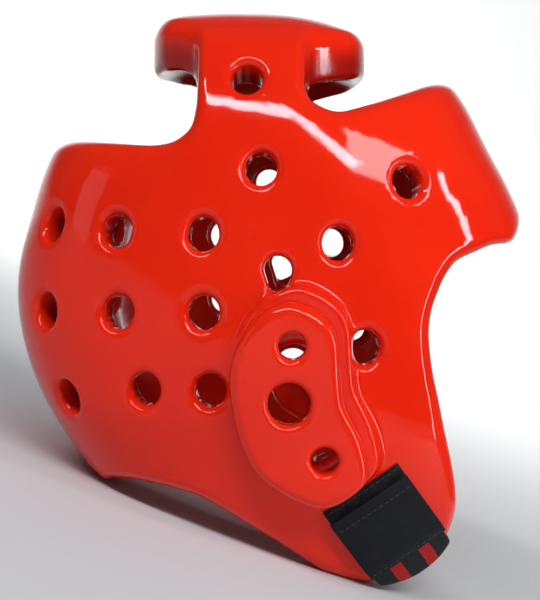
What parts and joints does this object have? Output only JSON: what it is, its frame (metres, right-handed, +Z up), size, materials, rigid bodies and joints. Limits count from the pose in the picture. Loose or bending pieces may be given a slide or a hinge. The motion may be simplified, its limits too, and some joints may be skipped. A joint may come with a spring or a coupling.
{
  "type": "head guard",
  "caption": "Open-topped dipped-foam head guard with a crown pad, vented sides, bean-shaped ear pads and a webbing chin strap.",
  "frame": {"origin": "under the middle of the guard, on the surface that it stands on", "axes": "+X towards the face, +Y towards the wearer's left, +Z up, with the guard standing on its rear rim and both jaw corners"},
  "size_m": [0.2398, 0.2172, 0.2405],
  "materials": {
    "shell_vinyl": "glossy dipped vinyl skin over foam",
    "pad_vinyl": "glossy dipped vinyl skin over foam",
    "loop_pile": "black loop pile of a hook-and-loop fastener",
    "webbing": "black elastic webbing with two red stripes",
    "label_satin": "dark woven satin, left bare"
  },
  "bodies": {
    "root": {"foam_shell": "shell_vinyl", "ear_pad_right": "pad_vinyl", "ear_pad_left": "pad_vinyl", "loop_patch": "loop_pile", "chin_strap": "webbing", "strap_label": "label_satin"}
  },
  "joints": []
}
